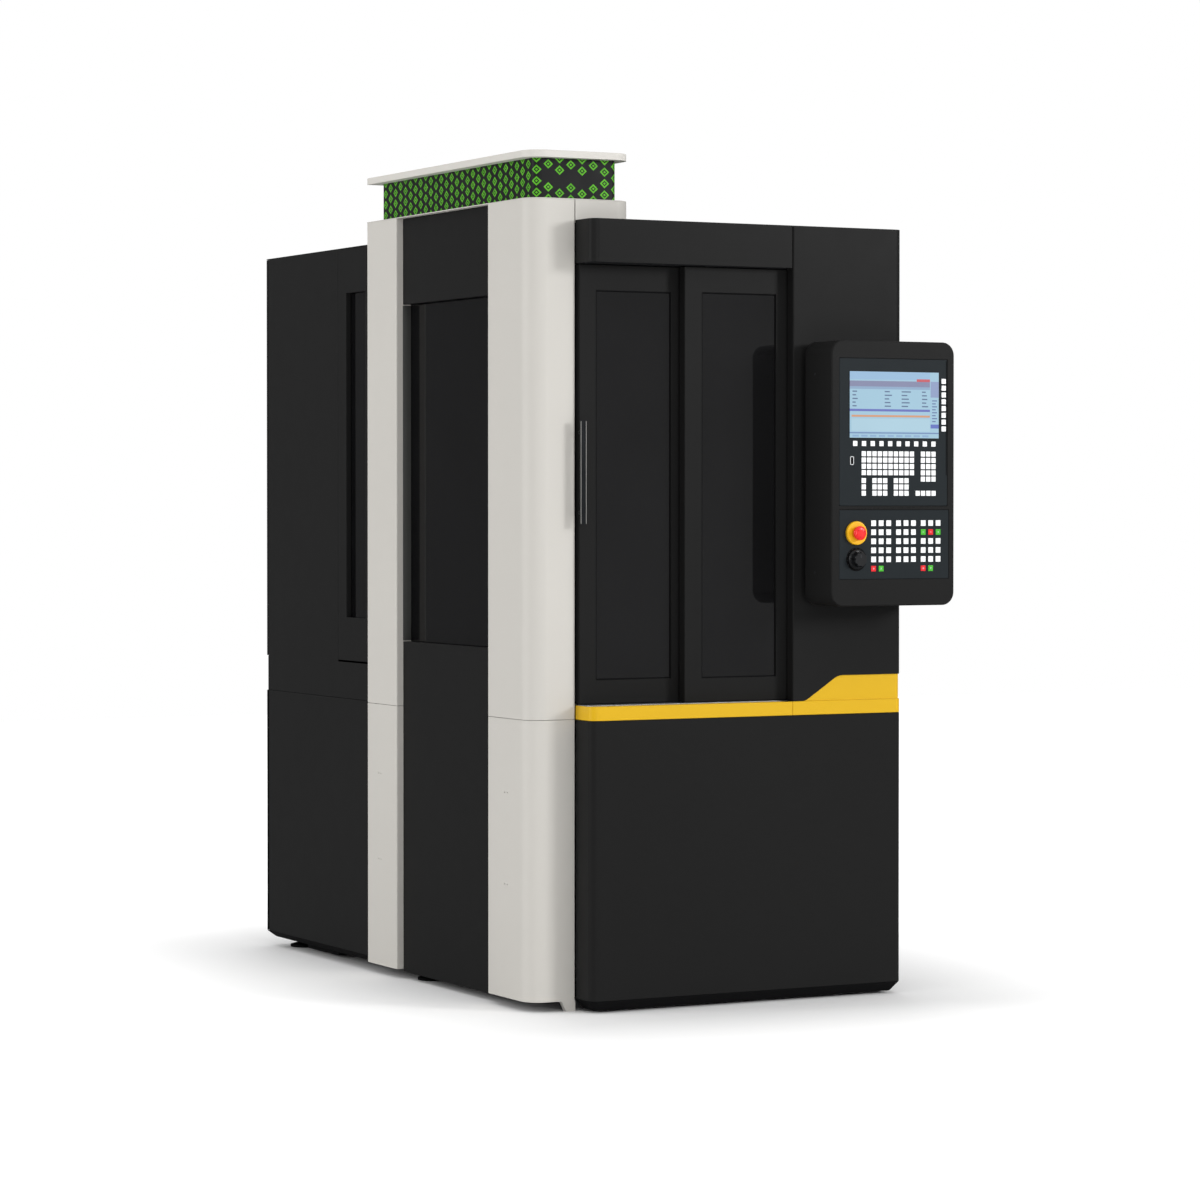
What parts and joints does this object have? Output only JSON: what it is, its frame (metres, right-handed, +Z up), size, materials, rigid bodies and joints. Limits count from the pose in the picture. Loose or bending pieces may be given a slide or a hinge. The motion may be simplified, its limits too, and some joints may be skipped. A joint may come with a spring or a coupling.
{
  "type": "cnc machining center",
  "caption": "Compact vertical machining center: black door box, grey side tower with sign and lid, sliding doors, control unit, moving table, head, spindle and tool disc.",
  "frame": {"origin": "floor level, centred on the overall box in X and Y", "axes": "+Z up, +X to the operator's right, +Y to the back of the machine; the doors and the control unit face -Y"},
  "size_m": [1.102, 1.982, 2.17],
  "materials": {
    "black_paint": "fine satin powder coat",
    "dark_base": "matt black paint",
    "yellow_paint": "satin paint",
    "grey_paint": "satin warm grey paint",
    "white_paint": "satin off-white paint",
    "sign_panel": "printed plastic panel",
    "tinted_glass": "dark tinted polycarbonate",
    "dark_aluminium": "black anodised",
    "rail_aluminium": "anodised extrusion",
    "zinc_steel": "zinc plated",
    "liner_steel": "stainless sheet",
    "cast_paint": "painted casting",
    "ground_iron": "ground face",
    "ground_steel": "ground steel",
    "motor_black": "black finish",
    "magazine_grey": "satin grey",
    "fascia_grey": "fine textured plastic",
    "screen_glass": "lit display behind glass",
    "key_white": "satin key caps",
    "stop_yellow": "satin yellow plastic",
    "stop_red": "gloss red plastic",
    "knob_black": "matt black plastic"
  },
  "bodies": {
    "frame": {"front_lower_panel": "black_paint", "front_header": "black_paint", "front_fixed_panel": "black_paint", "panel_above_window": "black_paint", "panel_below_window": "black_paint", "rear_left_upper_panel": "black_paint", "rear_left_lower_panel": "black_paint", "right_upper_panel": "black_paint", "right_lower_panel": "black_paint", "rear_lower_cover": "black_paint", "cabinet_roof": "black_paint", "control_housing": "black_paint", "control_bracket": "black_paint", "front_plinth": "dark_base", "rear_plinth": "dark_base", "base_frame": "dark_base", "accent_strip_left": "yellow_paint", "accent_strip_right": "yellow_paint", "front_column_upper": "grey_paint", "front_column_lower": "grey_paint", "rear_column_upper": "grey_paint", "rear_column_lower": "grey_paint", "tower_back_cover": "grey_paint", "tower_top_plate": "grey_paint", "sign_lid": "white_paint", "sign_box": "sign_panel", "side_window_glass": "tinted_glass", "door_track_lower": "rail_aluminium", "door_track_upper": "rail_aluminium", "levelling_feet": "zinc_steel", "electrical_plate": "zinc_steel", "coolant_tank": "zinc_steel", "chamber_floor": "liner_steel", "chamber_walls": "liner_steel", "bed_casting": "cast_paint", "column_casting": "cast_paint", "magazine_beam": "magazine_grey", "operator_fascia": "fascia_grey", "machine_fascia": "fascia_grey", "screen": "screen_glass", "panel_keys": "key_white", "stop_ring": "stop_yellow"},
    "rear_leaf": {"rear_leaf_frame": "black_paint", "rear_leaf_glass": "tinted_glass", "door_handle": "dark_aluminium"},
    "front_leaf": {"front_leaf_frame": "black_paint", "front_leaf_glass": "tinted_glass"},
    "side_door": {"magazine_door": "black_paint", "magazine_door_glass": "tinted_glass"},
    "cabinet_door": {"rear_upper_door": "black_paint"},
    "saddle": {"saddle": "cast_paint"},
    "table": {"work_table": "ground_iron"},
    "head": {"spindle_head": "cast_paint", "spindle_motor": "motor_black"},
    "spindle": {"spindle": "ground_steel"},
    "carriage": {"magazine_carriage": "magazine_grey"},
    "disc": {"tool_disc": "magazine_grey", "tool_holders": "ground_steel"},
    "stop": {"stop_button": "stop_red"},
    "knob": {"override_knob": "knob_black"}
  },
  "joints": [
    {"name": "rear_leaf_slide", "type": "slide", "parent": "frame", "child": "rear_leaf", "axis": [1, 0, 0], "range_m": [0, 0.528]},
    {"name": "front_leaf_slide", "type": "slide", "parent": "frame", "child": "front_leaf", "axis": [1, 0, 0], "range_m": [0, 0.264]},
    {"name": "side_door_swing", "type": "hinge", "parent": "frame", "child": "side_door", "pos_m": [-0.551, 0.4798, 1.416], "axis": [0, 0, -1], "range_deg": [0, 110]},
    {"name": "cabinet_door_swing", "type": "hinge", "parent": "frame", "child": "cabinet_door", "pos_m": [0.495, 0.991, 1.414], "axis": [0, 0, -1], "range_deg": [0, 110]},
    {"name": "saddle_slide", "type": "slide", "parent": "frame", "child": "saddle", "axis": [0, 1, 0], "range_m": [-0.1, 0.1]},
    {"name": "table_slide", "type": "slide", "parent": "saddle", "child": "table", "axis": [1, 0, 0], "range_m": [-0.15, 0.15]},
    {"name": "head_slide", "type": "slide", "parent": "frame", "child": "head", "axis": [0, 0, 1], "range_m": [-0.25, 0]},
    {"name": "spindle_spin", "type": "hinge", "parent": "head", "child": "spindle", "pos_m": [-0.086, -0.235, 1.29], "axis": [0, 0, 1], "continuous": true},
    {"name": "magazine_slide", "type": "slide", "parent": "frame", "child": "carriage", "axis": [1, 0, 0], "range_m": [0, 0.13]},
    {"name": "disc_spin", "type": "hinge", "parent": "carriage", "child": "disc", "pos_m": [-0.341, -0.235, 1.14], "axis": [0, 0, 1], "continuous": true},
    {"name": "stop_press", "type": "slide", "parent": "frame", "child": "stop", "axis": [0, 1, 0], "range_m": [0, 0.006]},
    {"name": "knob_turn", "type": "hinge", "parent": "frame", "child": "knob", "pos_m": [0.2555, -0.954, 1.1395], "axis": [0, -1, 0], "range_deg": [-150, 150]}
  ],
  "couplings": [
    {"joint": "front_leaf_slide", "follows": "rear_leaf_slide", "ratio": 0.5}
  ]
}
